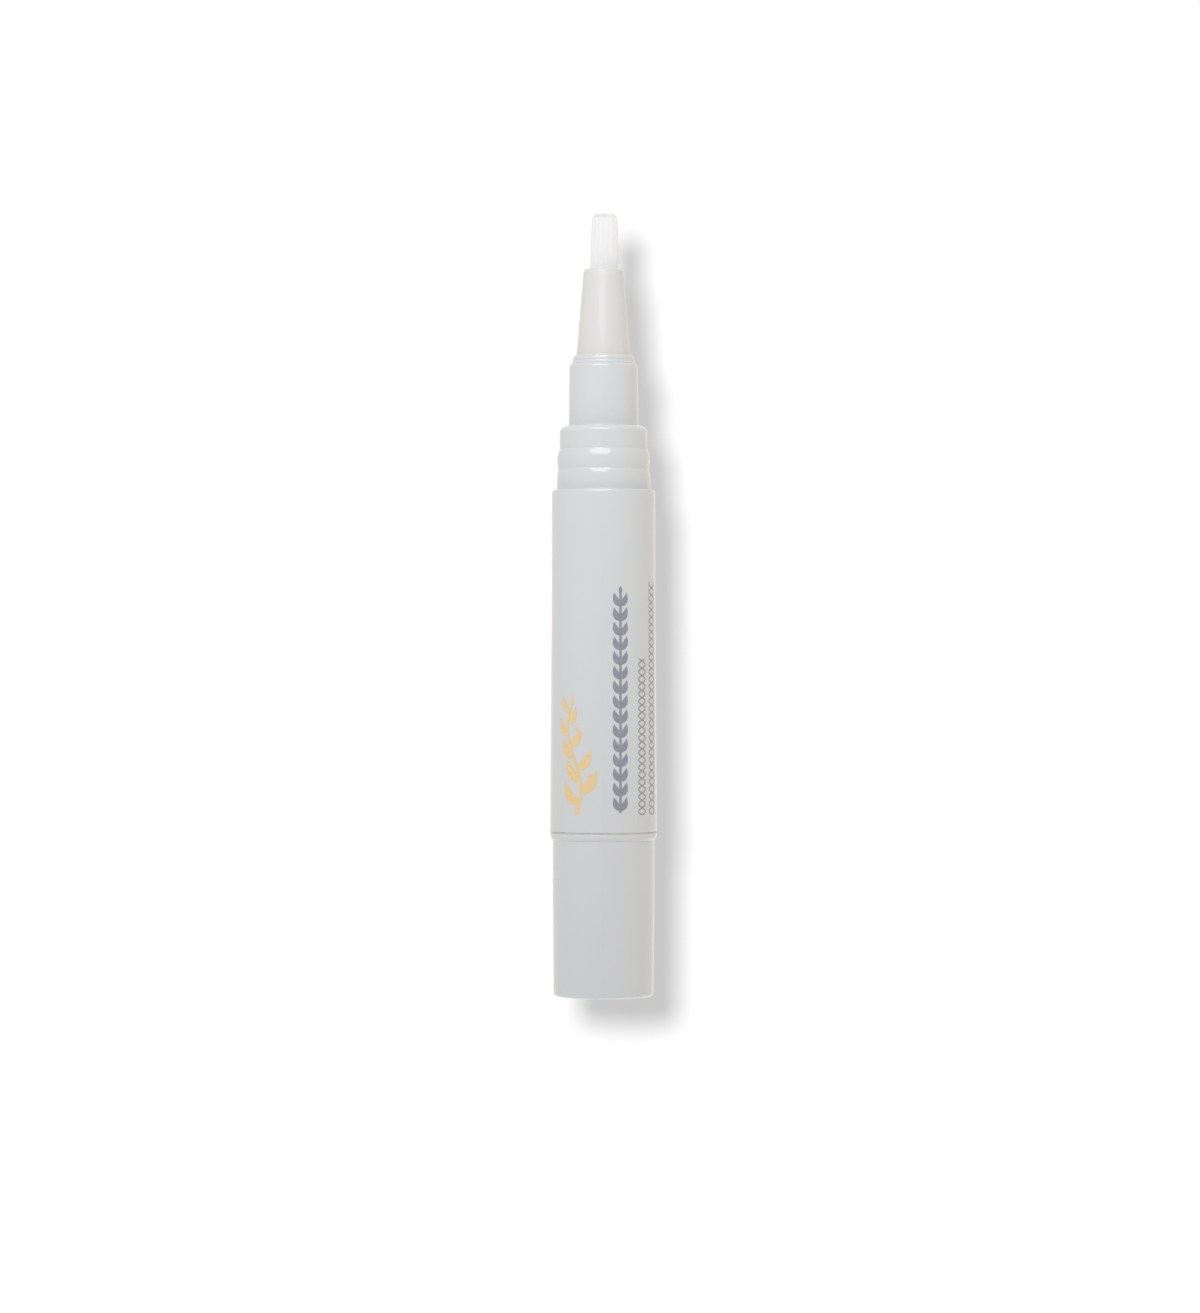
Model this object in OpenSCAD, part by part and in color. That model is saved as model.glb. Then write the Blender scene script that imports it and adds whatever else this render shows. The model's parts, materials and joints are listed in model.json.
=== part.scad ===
// Twist-up nail oil pen without its cap, standing on its knob with the brush up.
// The pen's axis is z, and z = 0 is the flat end of the knob. All lengths are millimetres.

/* [Barrel] */
// Outer diameter of the barrel's straight front part
barrel_d = 12.8; // [12.4:0.05:14]
// How far the rear edge stands out beyond the front part, all round
barrel_swell = 0.21; // [0:0.01:0.5]
// Length of the barrel
barrel_len = 42.18; // [40:0.05:60]
// Length of the straight front part, before the barrel widens
barrel_straight = 12.3; // [4:0.1:24]
// Wall of the barrel at its front edge
barrel_wall = 0.78; // [0.65:0.01:1]
// Rounding of the barrel's two outer edges
barrel_edge = 0.15; // [0.05:0.01:0.3]
// Length over which the barrel draws in towards its front edge
front_draw_len = 0.9; // [0.5:0.05:2]
// How far it draws in there
front_draw = 0.15; // [0.05:0.01:0.25]

/* [Knob] */
// Length of the knob, from its flat end to the seam
knob_len = 20.2; // [18:0.1:30]
// Width of the open seam between knob and barrel
seam_gap = 0.12; // [0.1:0.01:0.3]
// How far the knob's rim stays inside the barrel's rear edge
rim_inset = 0.04; // [0:0.01:0.2]
// How far the rim flares out from the knob's side
rim_flare = 0.28; // [0.1:0.01:0.5]
// Height of the hollow that leads out to the rim
flare_len = 0.6; // [0.5:0.05:2]
// Height of the rim's straight lip
rim_lip = 0.3; // [0.2:0.05:0.8]
// Length over which the knob narrows towards its end
knob_taper_len = 12; // [4:0.5:16]
// How far the knob's side draws in at its end
knob_draft = 0.11; // [0:0.01:0.3]
// Rounding of the knob's end edge
knob_edge = 0.4; // [0.2:0.05:0.8]
// Side wall of the knob shell
knob_wall = 1.05; // [0.8:0.05:1.4]
// Thickness of the knob's closed end
knob_floor = 1.2; // [0.8:0.1:2]

/* [Nose] */
// Visible ledge of the barrel's front rim around the nose
barrel_ledge = 0.62; // [0.4:0.01:0.7]
// Height of the collar's straight land, which sits on the barrel's rim
land_len = 1.3; // [0.8:0.1:2.5]
// Height of the land's rounded top, down to the cap groove
land_round = 1.3; // [0.6:0.05:2]
// Depth of the cap groove below the land
groove_depth = 0.17; // [0.08:0.01:0.25]
// Height from the groove's corner to the crown of the snap bead
bead_rise = 1.2; // [0.6:0.05:2]
// Height of the snap bead above the groove's corner
bead_height = 0.12; // [0.05:0.01:0.2]
// Height of the bead's rounding from its crown up to the cap seat
bead_round = 1.3; // [0.6:0.05:2]
// How far the cap seat lies inside the collar's land, all round
seat_step = 0.36; // [0.3:0.01:0.5]
// Height of the straight cap seat above the bead
seat_len = 2.1; // [1.5:0.05:4]
// Height of the domed shoulder between the cap seat and the neck
shoulder_rise = 0.8; // [0.4:0.05:1.2]
// Diameter of the neck where it leaves the collar
neck_d = 8.6; // [8.4:0.05:9]
// How far the neck narrows towards its top, all round
neck_draft = 0.06; // [0:0.01:0.15]
// Length of the neck
neck_len = 7.6; // [5:0.1:12]
// How far the rounding of the neck's top edge draws in
neck_edge = 0.28; // [0.1:0.02:0.3]
// Height of that rounding
neck_round = 0.45; // [0.2:0.05:0.8]
// How far the step ring's foot lies inside the neck's top, all round
step_inset = 0.3; // [0.2:0.02:0.5]
// How far the step ring's side draws in above its foot
step_draw = 0.14; // [0:0.01:0.25]
// Height of the step ring
step_len = 1.05; // [1:0.05:2]
// Height of the straight foot of the step ring
step_foot_len = 0.1; // [0.05:0.01:0.2]
// Height of the hollow above that foot
step_flare_len = 0.4; // [0.3:0.05:0.6]
// How far the rounding of the step ring's top edge draws in
step_edge = 0.26; // [0.1:0.02:0.3]
// Height of that rounding
step_round = 0.54; // [0.2:0.02:0.6]
// Wall of the nose around the holder's plug
neck_wall = 1.2; // [1:0.05:1.4]
// Length of the skirt inside the tank
skirt_len = 4.5; // [3:0.1:6]
// Wall of the skirt
skirt_wall = 0.9; // [0.8:0.05:1.1]
// Diameter of the oil hole through the nose's web
oil_hole_d = 3; // [2:0.1:4]

/* [Brush] */
// Visible ledge of the step ring around the translucent cone
cone_ledge = 0.46; // [0.3:0.02:0.6]
// Length of the cone
cone_len = 10.75; // [8:0.05:14]
// Rounding of the cone's tip edge
cone_edge = 0.45; // [0.1:0.05:0.5]
// Diameter of the mouth that the fibres leave through
mouth_d = 3.5; // [2.8:0.05:3.6]
// Wall of the cone at its tip
tip_wall = 0.72; // [0.6:0.02:1]
// Width of the shoulder inside the cone that the tuft's root rests on
root_shoulder = 0.35; // [0.25:0.05:0.45]
// Depth of the fibres inside the mouth
tuft_depth = 5.7; // [3:0.1:7]
// Length of the fibres outside the mouth
tuft_len = 7; // [4:0.1:10]
// Side of the three-sided fibres at their root
fibre_w = 0.2; // [0.19:0.005:0.22]
// Thickness of the fused root of the tuft
root_len = 0.8; // [0.5:0.1:1.5]
// Length of the bung behind the tuft
plug_len = 3.6; // [2:0.1:6]
// Outer diameter of the feed tube
feed_d = 0.56; // [0.5:0.02:0.6]
// Bore of the feed tube
feed_bore_d = 0.32; // [0.2:0.02:0.4]
// How far the feed tube stands out of the mouth among the fibres
feed_out = 0.7; // [0:0.1:3]

/* [Oil tank] */
// Wall of the tank
tank_wall = 0.5; // [0.4:0.02:0.6]
// Number of key slots in the tank's rear
key_count = 3; // [2:1:4]
// Width of the keys
key_w = 1.2; // [0.8:0.1:2]
// How deep the key slots go into the tank's wall
key_slot = 0.25; // [0.15:0.01:0.3]

/* [Piston and screw] */
// Length of the piston's cylinder
piston_len = 5.6; // [5:0.1:8]
// Height of the piston's domed crown
crown_len = 0.9; // [0.4:0.1:2]
// Thickness of the piston's O-rings
ring_w = 0.7; // [0.5:0.05:0.8]
// How deep each of the screw's two flats is cut, as a share of the screw's radius
rod_flat_share = 0.25; // [0.15:0.01:0.3]
// Thickness of the screw's head, which snaps into the piston
head_len = 1.1; // [0.8:0.1:1.6]
// How far the screw's head stands out around the neck behind it
head_hold = 0.55; // [0.4:0.05:0.7]

/* [Rear mechanism] */
// Length of the guide nut
nut_len = 4.2; // [3:0.1:6]
// Wall of the nut's hub around the screw
hub_wall = 1.15; // [0.8:0.05:1.4]
// Thickness of the housing's rear flange
flange_len = 0.5; // [0.3:0.05:1]
// Thickness of the housing's bearing floor, in front of its flange
bearing_len = 1.6; // [1:0.1:2]
// Wall of the housing's cup at the foot of its teeth
cup_wall = 0.5; // [0.4:0.02:0.6]
// Number of clicks in one turn of the knob
click_count = 12; // [9:3:15]
// Height of the saw teeth
tooth_h = 0.4; // [0.3:0.02:0.45]
// Length of the pawl ring
pawl_len = 2.5; // [1.8:0.1:3.5]
// Number of sprung pawls
pawl_count = 3; // [1:2:3]
// Thickness of a pawl's arm
arm_w = 0.35; // [0.25:0.02:0.4]
// Slit between a pawl's arm and the pawl ring's hub
arm_slit = 0.2; // [0.15:0.01:0.3]
// How much of the pawl ring's hub its bore takes, as a share of the hub's radius
pawl_bore_share = 0.816; // [0.78:0.002:0.84]
// How much of the drive sleeve its bore takes there, as a share of the sleeve's radius
rod_bore_share = 0.722; // [0.68:0.002:0.76]
// How deep the drive sleeve's two flats inside the pawl ring are cut
sleeve_flat_depth = 0.35; // [0.2:0.05:0.5]
// How far the journal, which turns in the housing, stands out from the pawl ring's seat
journal_step = 0.35; // [0.25:0.05:0.45]
// Wall of the drive sleeve's ribbed core in the knob
core_wall = 1.05; // [0.8:0.05:1.4]
// Number of ribs on the core
rib_count = 6; // [3:3:9]
// Thickness of the ribs
rib_w = 0.9; // [0.6:0.1:1.2]
// Thickness of the drive sleeve's front plate, which closes the knob's mouth
plate_len = 2.3; // [1.4:0.1:4]
// Thickness of the friction O-ring in the seam
friction_w = 0.9; // [0.7:0.05:1]

/* [Hidden] */
$fn = 96;

// Clearances and small shared sizes
fit_gap = 0.03;
run_gap = 0.05;
end_gap = 0.1;
cut_over = 1;
chamfer = 0.2;
curve_steps = 8;
section_facets = 32;

silver = [0.81, 0.815, 0.825];
natural = [0.88, 0.86, 0.83];
fibre_white = [0.93, 0.93, 0.93];
acetal = [0.9, 0.9, 0.87];
dark_rubber = [0.16, 0.11, 0.09];
pale_rubber = [0.62, 0.55, 0.48];

// Places along the axis
barrel_z0 = knob_len + seam_gap;
barrel_z1 = barrel_z0 + barrel_len;
housing_inset = 0.15;
housing_z0 = barrel_z0 + housing_inset;
tank_z0 = housing_z0 + flange_len;
bearing_z1 = tank_z0 + bearing_len;
pawl_z0 = bearing_z1 + end_gap;
pawl_z1 = pawl_z0 + pawl_len;
sleeve_z1 = pawl_z1 + fit_gap + 2 * chamfer;
cup_room = 0.5;
housing_z1 = sleeve_z1 + cup_room;
nut_z1 = housing_z1 + nut_len;
piston_rest_gap = 0.5;
piston_z0 = nut_z1 + piston_rest_gap;
piston_z1 = piston_z0 + piston_len;
skirt_z0 = barrel_z1 - skirt_len;
groove_z = barrel_z1 + land_len + land_round;
bead_z = groove_z + bead_rise;
seat_z0 = bead_z + bead_round;
seat_z1 = seat_z0 + seat_len;
shoulder_z = seat_z1 + shoulder_rise;
neck_z1 = shoulder_z + neck_len;
step_foot_z1 = neck_z1 + step_foot_len;
step_z1 = neck_z1 + step_len;
mouth_z = step_z1 + cone_len;
root_z1 = mouth_z - tuft_depth;
root_z0 = root_z1 - root_len;
web_len = 0.8;
web_slope = 1.1;
nose_floor_z = shoulder_z - web_len;
tip_z = mouth_z + tuft_len;

// Radii from the outside in
barrel_r = barrel_d / 2;
barrel_rear_r = barrel_r + barrel_swell;
front_r = barrel_r - front_draw;
barrel_bore_r = barrel_r - barrel_wall;
tank_r = barrel_bore_r - fit_gap;
tank_bore_r = tank_r - tank_wall;
slot_r = tank_bore_r + key_slot;
insert_r = tank_bore_r - fit_gap;
key_r = slot_r - fit_gap;
rim_r = barrel_rear_r - rim_inset;
knob_r = rim_r - rim_flare;
knob_end_r = knob_r - knob_draft;
knob_bore_r = knob_r - knob_wall;
land_r = barrel_r - barrel_ledge;
groove_r = land_r - groove_depth;
bead_r = groove_r + bead_height;
seat_r = land_r - seat_step;
neck_r = neck_d / 2;
neck_top_r = neck_r - neck_draft;
step_foot_r = neck_top_r - step_inset;
step_r = step_foot_r - step_draw;
nose_bore_r = neck_top_r - neck_wall;
cavity_r = insert_r - skirt_wall;
holder_plug_r = nose_bore_r - fit_gap;
mouth_r = mouth_d / 2;
holder_bore_r = mouth_r + root_shoulder;
cone_tip_r = mouth_r + tip_wall;
cone_base_r = step_r - cone_ledge;
plate_r = knob_bore_r - fit_gap;

// Radii of the mechanism, from the housing's teeth in to the screw
pawl_gap = 0.06;
cup_valley_r = insert_r - cup_wall;
cup_tip_r = cup_valley_r - tooth_h;
arm_out_r = cup_tip_r - pawl_gap;
arm_in_r = arm_out_r - arm_w;
pawl_hub_r = arm_in_r - arm_slit;
pawl_seat_r = pawl_hub_r * pawl_bore_share;
journal_r = pawl_seat_r + journal_step;
rod_bore_r = pawl_seat_r * rod_bore_share;
rod_r = rod_bore_r - run_gap;
rod_flats = 2 * rod_r * (1 - rod_flat_share);
core_r = rod_bore_r + core_wall;

// Points of an arc of radius r about [x, z], from angle a0 to a1
function arc(x, z, r, a0, a1) = [
    for (i = [0 : curve_steps])
        let (a = a0 + (a1 - a0) * i / curve_steps)
            [x + r * cos(a), z + r * sin(a)]
];

// Points of a round arc that leaves [r0, z0] along the axis and ends at [r1, z1]
function bow(r0, z0, r1, z1) = let (
    bend_r = (pow(z1 - z0, 2) + pow(r1 - r0, 2)) / (2 * (r1 - r0))
) [
    for (i = [0 : curve_steps])
        let (z = (z1 - z0) * i / curve_steps)
            [r0 + bend_r - sign(bend_r) * sqrt(pow(bend_r, 2) - pow(z, 2)), z0 + z]
];

// Points of a quarter ellipse from the side at [r0, z0] to the top at [r1, z1]
function dome(r0, z0, r1, z1) = [
    for (i = [0 : curve_steps])
        let (a = 90 * i / curve_steps)
            [r1 + (r0 - r1) * cos(a), z0 + (z1 - z0) * sin(a)]
];

function flipped(points) = [for (i = [len(points) - 1 : -1 : 0]) points[i]];

// A point at radius r and angle a
function polar(r, a) = [r * cos(a), r * sin(a)];

// A round bar or ring with a plain section, from z0 to z1
module ring(outer, inner, z0, z1) {
    difference() {
        translate([0, 0, z0])
            cylinder(r = outer, h = z1 - z0);
        translate([0, 0, z0 - cut_over])
            cylinder(r = inner, h = z1 - z0 + 2 * cut_over);
    }
}

// An O-ring with its section's middle at radius r and height z
module o_ring(r, section_r, z) {
    rotate_extrude()
        translate([r, z])
            circle(r = section_r, $fn = section_facets);
}

// A slab that keeps the width between two flats, for double-D shafts and holes
module flat_slab(width, reach, z0, z1) {
    translate([-width / 2, -reach, z0])
        cube([width, 2 * reach, z1 - z0]);
}

// A double-D bar
module double_d(r, width, z0, z1) {
    intersection() {
        translate([0, 0, z0])
            cylinder(r = r, h = z1 - z0);
        flat_slab(width, r + cut_over, z0 - cut_over, z1 + cut_over);
    }
}

// Equal bars around the axis, from radius r0 to r1
module spokes(count, width, r0, r1, z0, z1) {
    for (i = [0 : count - 1])
        rotate([0, 0, 360 * i / count])
            translate([r0, -width / 2, z0])
                cube([r1 - r0, width, z1 - z0]);
}

// Tuft: three-sided fibres on a triangular lattice, narrowing to their tips
root_gap = 0.05;
tuft_r = mouth_r - fit_gap;
root_r = holder_bore_r - root_gap;
feed_room_r = feed_d / 2 + fit_gap;
lattice_span = ceil(2 * root_r / fibre_w);
row_share = sqrt(3) / 2;
fibre_tip_share = 0.55;
tuft_tip_share = 0.9;
tip_round = 0.9;
tip_power = 5;
tip_scatter = 0.45;
seed_start = 1000;
seed_steps = [97, 31, 7];

function lattice(i, j) = [fibre_w * (i + j / 2), fibre_w * j * row_share];
function corners(c) = c[2] == 0
    ? [lattice(c[0], c[1]), lattice(c[0] + 1, c[1]), lattice(c[0], c[1] + 1)]
    : [lattice(c[0] + 1, c[1]), lattice(c[0] + 1, c[1] + 1), lattice(c[0], c[1] + 1)];
function beside(c) = c[2] == 0
    ? [[c[0], c[1] - 1, 1], [c[0], c[1], 1], [c[0] - 1, c[1], 1]]
    : [[c[0] + 1, c[1], 0], [c[0], c[1] + 1, 0], [c[0], c[1], 0]];
function middles(p) = [for (k = [0 : 2]) (p[k] + p[(k + 1) % 3]) / 2];
function within(c, r) =
    max([for (p = corners(c)) norm(p)]) <= r
    && min([for (p = concat(corners(c), middles(corners(c)))) norm(p)]) >= feed_room_r;
function at_height(p, z) = [p[0], p[1], z];
function middle(p) = (p[0] + p[1] + p[2]) / 3;

// Height of a fibre's tip: flat in the middle, rounded at the edge, and a little uneven
function fibre_z(c) = let (
    share = norm(middle(corners(c))) / tuft_r,
    chance = rands(0, 1, 1, seed_start + c * seed_steps)[0]
) tip_z - tip_round * pow(share, tip_power) - tip_scatter * pow(chance, 2);

function fibre_top(c) = let (m = middle(corners(c)))
    [for (p = corners(c)) at_height(m * tuft_tip_share + (p - m) * fibre_tip_share, fibre_z(c))];

function fibre_faces(c) = let (
    low = [for (p = corners(c)) at_height(p, root_z1)],
    top = fibre_top(c)
) concat(
    [top],
    [for (k = [0 : 2]) [low[k], low[(k + 1) % 3], top[(k + 1) % 3]]],
    [for (k = [0 : 2]) [low[k], top[(k + 1) % 3], top[k]]]
);

function wall_faces(c) = let (p = corners(c), near = beside(c)) [
    for (k = [0 : 2]) if (!within(near[k], root_r))
        let (a = p[k], b = p[(k + 1) % 3])
            each [
                [at_height(a, root_z0), at_height(b, root_z0), at_height(b, root_z1)],
                [at_height(a, root_z0), at_height(b, root_z1), at_height(a, root_z1)]
            ]
];

function cell_faces(c) = let (p = corners(c)) concat(
    within(c, tuft_r) ? fibre_faces(c) : [[for (q = p) at_height(q, root_z1)]],
    [[for (k = [2 : -1 : 0]) at_height(p[k], root_z0)]],
    wall_faces(c)
);

module bristle_tuft() {
    cells = [
        for (i = [-lattice_span : lattice_span], j = [-lattice_span : lattice_span], k = [0, 1])
            if (within([i, j, k], root_r)) [i, j, k]
    ];
    triangles = [for (c = cells) each cell_faces(c)];
    echo(fibres = len([for (c = cells) if (within(c, tuft_r)) c]), triangles = len(triangles));
    color(fibre_white)
        polyhedron(
            points = [for (t = triangles) each t],
            faces = [for (i = [0 : len(triangles) - 1]) [3 * i + 2, 3 * i + 1, 3 * i]]
        );
}

// Feed tube, from the holder's bore through the bung and the root into the fibres
feed_len = 19.4;

module feed_tube() {
    color(natural)
        ring(feed_d / 2, feed_bore_d / 2, mouth_z + feed_out - feed_len, mouth_z + feed_out);
}

// Bung behind the tuft, with channels along its side
channel_count = 4;
channel_w = 0.5;
channel_depth = 0.4;

module tuft_plug() {
    plug_r = holder_bore_r - fit_gap;
    plug_z0 = root_z0 - plug_len;
    color(natural)
        difference() {
            rotate_extrude()
                polygon([
                    [feed_room_r, plug_z0], [plug_r - chamfer, plug_z0], [plug_r, plug_z0 + chamfer],
                    [plug_r, root_z0], [feed_room_r, root_z0]
                ]);
            spokes(
                channel_count, channel_w, plug_r - channel_depth, plug_r + cut_over,
                plug_z0 - cut_over, root_z0 + cut_over
            );
        }
}

// Translucent brush holder: a cone outside, and a ribbed plug inside the nose
rib_height = 0.02;
rib_len = 0.6;
lip = 0.12;

module brush_holder() {
    plug_rib_r = holder_plug_r + rib_height;
    rib_z = (nose_floor_z + step_z1) / 2;
    color(natural)
        rotate_extrude()
            polygon(concat(
                [
                    [holder_bore_r, nose_floor_z], [holder_plug_r - chamfer, nose_floor_z],
                    [holder_plug_r, nose_floor_z + chamfer], [holder_plug_r, rib_z - rib_len],
                    [plug_rib_r, rib_z], [holder_plug_r, rib_z + rib_len],
                    [holder_plug_r, step_z1], [cone_base_r, step_z1]
                ],
                arc(cone_tip_r - cone_edge, mouth_z - cone_edge, cone_edge, 0, 90),
                [
                    [mouth_r + lip, mouth_z], [mouth_r, mouth_z - lip],
                    [mouth_r, root_z1], [holder_bore_r, root_z1]
                ]
            ));
}

// Nose: skirt in the tank, collar with cap groove, snap bead and domed shoulder, neck and step ring
seal_w = 0.5;
seal_groove_w = 0.65;
seal_room = 1.6;
seal_z = skirt_z0 + seal_room;
seal_r = insert_r - seal_w / 2;

module nose() {
    seal_foot_r = seal_r - seal_w / 2 - fit_gap;
    color(silver)
        difference() {
            rotate_extrude()
                polygon(concat(
                    [
                        [0, skirt_z0], [insert_r - chamfer, skirt_z0], [insert_r, skirt_z0 + chamfer],
                        [insert_r, seal_z - seal_groove_w / 2], [seal_foot_r, seal_z - seal_groove_w / 2],
                        [seal_foot_r, seal_z + seal_groove_w / 2], [insert_r, seal_z + seal_groove_w / 2],
                        [insert_r, barrel_z1], [land_r, barrel_z1]
                    ],
                    bow(land_r, barrel_z1 + land_len, groove_r, groove_z),
                    flipped(bow(bead_r, bead_z, groove_r, groove_z)),
                    bow(bead_r, bead_z, seat_r, seat_z0),
                    dome(seat_r, seat_z1, neck_r, shoulder_z),
                    dome(neck_top_r, neck_z1 - neck_round, neck_top_r - neck_edge, neck_z1),
                    [[step_foot_r, neck_z1]],
                    flipped(bow(step_r, step_foot_z1 + step_flare_len, step_foot_r, step_foot_z1)),
                    dome(step_r, step_z1 - step_round, step_r - step_edge, step_z1),
                    [[0, step_z1]]
                ));
            rotate_extrude()
                polygon([
                    [0, skirt_z0 - cut_over], [cavity_r, skirt_z0 - cut_over],
                    [cavity_r, nose_floor_z - web_len - web_slope],
                    [oil_hole_d / 2, nose_floor_z - web_len], [oil_hole_d / 2, nose_floor_z],
                    [nose_bore_r, nose_floor_z], [nose_bore_r, step_z1 + cut_over], [0, step_z1 + cut_over]
                ]);
        }
}

module nose_seal() {
    color(dark_rubber)
        o_ring(seal_r, seal_w / 2, seal_z);
}

// Barrel: straight in front, a little wider towards the knob
module barrel() {
    color(silver)
        rotate_extrude()
            polygon(concat(
                [[barrel_bore_r, barrel_z0]],
                arc(barrel_rear_r - barrel_edge, barrel_z0 + barrel_edge, barrel_edge, -90, 0),
                [[barrel_r, barrel_z1 - barrel_straight]],
                dome(barrel_r, barrel_z1 - front_draw_len, front_r, barrel_z1),
                [[barrel_bore_r, barrel_z1]]
            ));
}

// Inner tank, open at both ends, with key slots that end where the nut stops
module oil_tank() {
    slot_w = key_w + 2 * fit_gap;
    color(natural)
        difference() {
            ring(tank_r, tank_bore_r, tank_z0, barrel_z1);
            spokes(key_count, slot_w, tank_bore_r - cut_over, slot_r, tank_z0 - cut_over, nut_z1);
        }
}

// Piston with two O-ring grooves, a domed crown and a split socket for the screw's head
piston_gap = 0.08;
piston_r = tank_bore_r - piston_gap;
ring_z_shares = [0.22, 0.78];
ring_r = tank_bore_r - run_gap - ring_w / 2;
ring_groove_w = 0.85;
socket_lip = 1.3;
socket_slot_w = 0.5;
crown_r = cavity_r - end_gap;
crown_top_share = 0.35;
head_gap = 0.07;
head_r = rod_r - run_gap;
head_neck_r = head_r - head_hold;

function ring_z(share) = piston_z0 + piston_len * share;

module ring_groove(z) {
    ring(piston_r + cut_over, ring_r - ring_w / 2 - fit_gap, z - ring_groove_w / 2, z + ring_groove_w / 2);
}

module piston() {
    neck_hole_r = head_neck_r + run_gap;
    head_room_r = head_r + head_gap;
    head_room_z0 = piston_z0 + socket_lip;
    crown_top_r = crown_r * crown_top_share;
    color(acetal)
        difference() {
            rotate_extrude()
                polygon([
                    [0, piston_z0], [piston_r - chamfer, piston_z0], [piston_r, piston_z0 + chamfer],
                    [piston_r, piston_z1 - chamfer], [piston_r - chamfer, piston_z1], [crown_r, piston_z1],
                    [crown_top_r, piston_z1 + crown_len], [0, piston_z1 + crown_len]
                ]);
            for (share = ring_z_shares)
                ring_groove(ring_z(share));
            translate([0, 0, piston_z0 - cut_over])
                cylinder(r = neck_hole_r, h = cut_over + socket_lip + head_len);
            translate([0, 0, head_room_z0])
                cylinder(r = head_room_r, h = head_len + 2 * end_gap);
            for (a = [0, 90])
                rotate([0, 0, a])
                    flat_slab(
                        socket_slot_w, head_room_r + chamfer, piston_z0 - cut_over, head_room_z0 + chamfer
                    );
        }
}

module piston_rings() {
    color(dark_rubber)
        for (share = ring_z_shares)
            o_ring(ring_r, ring_w / 2, ring_z(share));
}

// Screw: flatted bar, with a neck and a chamfered head in the piston's socket
tail_gap = 0.5;

module screw_rod() {
    rod_z0 = knob_floor + tail_gap;
    rod_z1 = piston_z0 - end_gap;
    head_z0 = piston_z0 + socket_lip + end_gap;
    color(acetal) {
        double_d(rod_r, rod_flats, rod_z0, rod_z1);
        rotate_extrude()
            polygon([
                [0, rod_z1 - chamfer], [head_neck_r, rod_z1 - chamfer], [head_neck_r, head_z0],
                [head_r, head_z0], [head_r, head_z0 + head_len / 2],
                [head_neck_r, head_z0 + head_len], [0, head_z0 + head_len]
            ]);
    }
}

// Guide nut: keyed disc with a hub, lightened by a kidney pocket between each two keys
nut_web = 1.4;
nut_rim = 0.7;
pocket_share = 0.7;

module guide_nut() {
    hub_r = rod_bore_r + hub_wall;
    pitch = 360 / key_count;
    pocket_angle = pitch * pocket_share;
    color(acetal)
        difference() {
            union() {
                ring(insert_r, rod_bore_r, housing_z1, nut_z1);
                spokes(key_count, key_w, insert_r - nut_rim, key_r, housing_z1, nut_z1);
            }
            for (i = [0 : key_count - 1])
                rotate([0, 0, pitch * i + (pitch - pocket_angle) / 2])
                    rotate_extrude(angle = pocket_angle)
                        translate([hub_r, housing_z1 - cut_over])
                            square([insert_r - nut_rim - hub_r, nut_len - nut_web + cut_over]);
        }
}

// Ratchet housing: rear flange, bearing floor, and a cup with saw teeth inside.
// Each tooth rises slowly in the turning direction and falls back at once.
tooth_angle = 360 / click_count;
tooth_steps = 4;

function tooth_r(share) = cup_valley_r - tooth_h * share;

module tooth_room(z0, z1) {
    translate([0, 0, z0])
        linear_extrude(height = z1 - z0)
            polygon([
                for (i = [0 : click_count - 1], k = [0 : tooth_steps])
                    polar(tooth_r(k / tooth_steps), tooth_angle * (i + k / tooth_steps))
            ]);
}

module ratchet_housing() {
    color(acetal)
        difference() {
            union() {
                translate([0, 0, housing_z0])
                    cylinder(r = tank_r, h = flange_len);
                translate([0, 0, tank_z0])
                    cylinder(r = insert_r, h = housing_z1 - tank_z0);
                spokes(key_count, key_w, journal_r, key_r, tank_z0, bearing_z1);
            }
            translate([0, 0, housing_z0 - cut_over])
                cylinder(r = journal_r + run_gap, h = bearing_z1 - housing_z0 + 2 * cut_over);
            tooth_room(bearing_z1, housing_z1 + cut_over);
        }
}

// Pawl ring: a hub with flats, and sprung arms that trail behind the turning direction
tip_angle_share = 0.05;
nib_angle_share = 0.6;
heel_angle_share = 0.85;
root_angles = [78, 94];
sleeve_flats = 2 * (pawl_seat_r - sleeve_flat_depth);

function nib_r(share) = tooth_r(share) - pawl_gap;

module pawl_arm() {
    foot_r = pawl_hub_r - arm_slit;
    nib = [tooth_angle * tip_angle_share, tooth_angle * nib_angle_share];
    polygon(concat(
        [polar(nib_r(tip_angle_share), nib[0]), polar(nib_r(nib_angle_share / 2), (nib[0] + nib[1]) / 2)],
        arc(0, 0, arm_out_r, tooth_angle * heel_angle_share, root_angles[1]),
        [polar(foot_r, root_angles[1]), polar(foot_r, root_angles[0])],
        arc(0, 0, arm_in_r, root_angles[0], nib[0])
    ));
}

module pawl_ring() {
    color(acetal)
        translate([0, 0, pawl_z0])
            linear_extrude(height = pawl_len)
                difference() {
                    union() {
                        circle(r = pawl_hub_r);
                        for (i = [0 : pawl_count - 1])
                            rotate([0, 0, 360 * i / pawl_count])
                                pawl_arm();
                    }
                    intersection() {
                        circle(r = pawl_seat_r + fit_gap);
                        square([sleeve_flats + 2 * fit_gap, 2 * pawl_hub_r], center = true);
                    }
                }
}

// Drive sleeve: ribbed core in the knob, front plate, journal, pawl seat and snap rim
snap_height = 0.25;
plate_lip = 0.12;
groove_half = friction_w / 2 + fit_gap;
friction_r = plate_r - plate_lip - groove_half;
friction_z = housing_z0 - run_gap - friction_w / 2;

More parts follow.
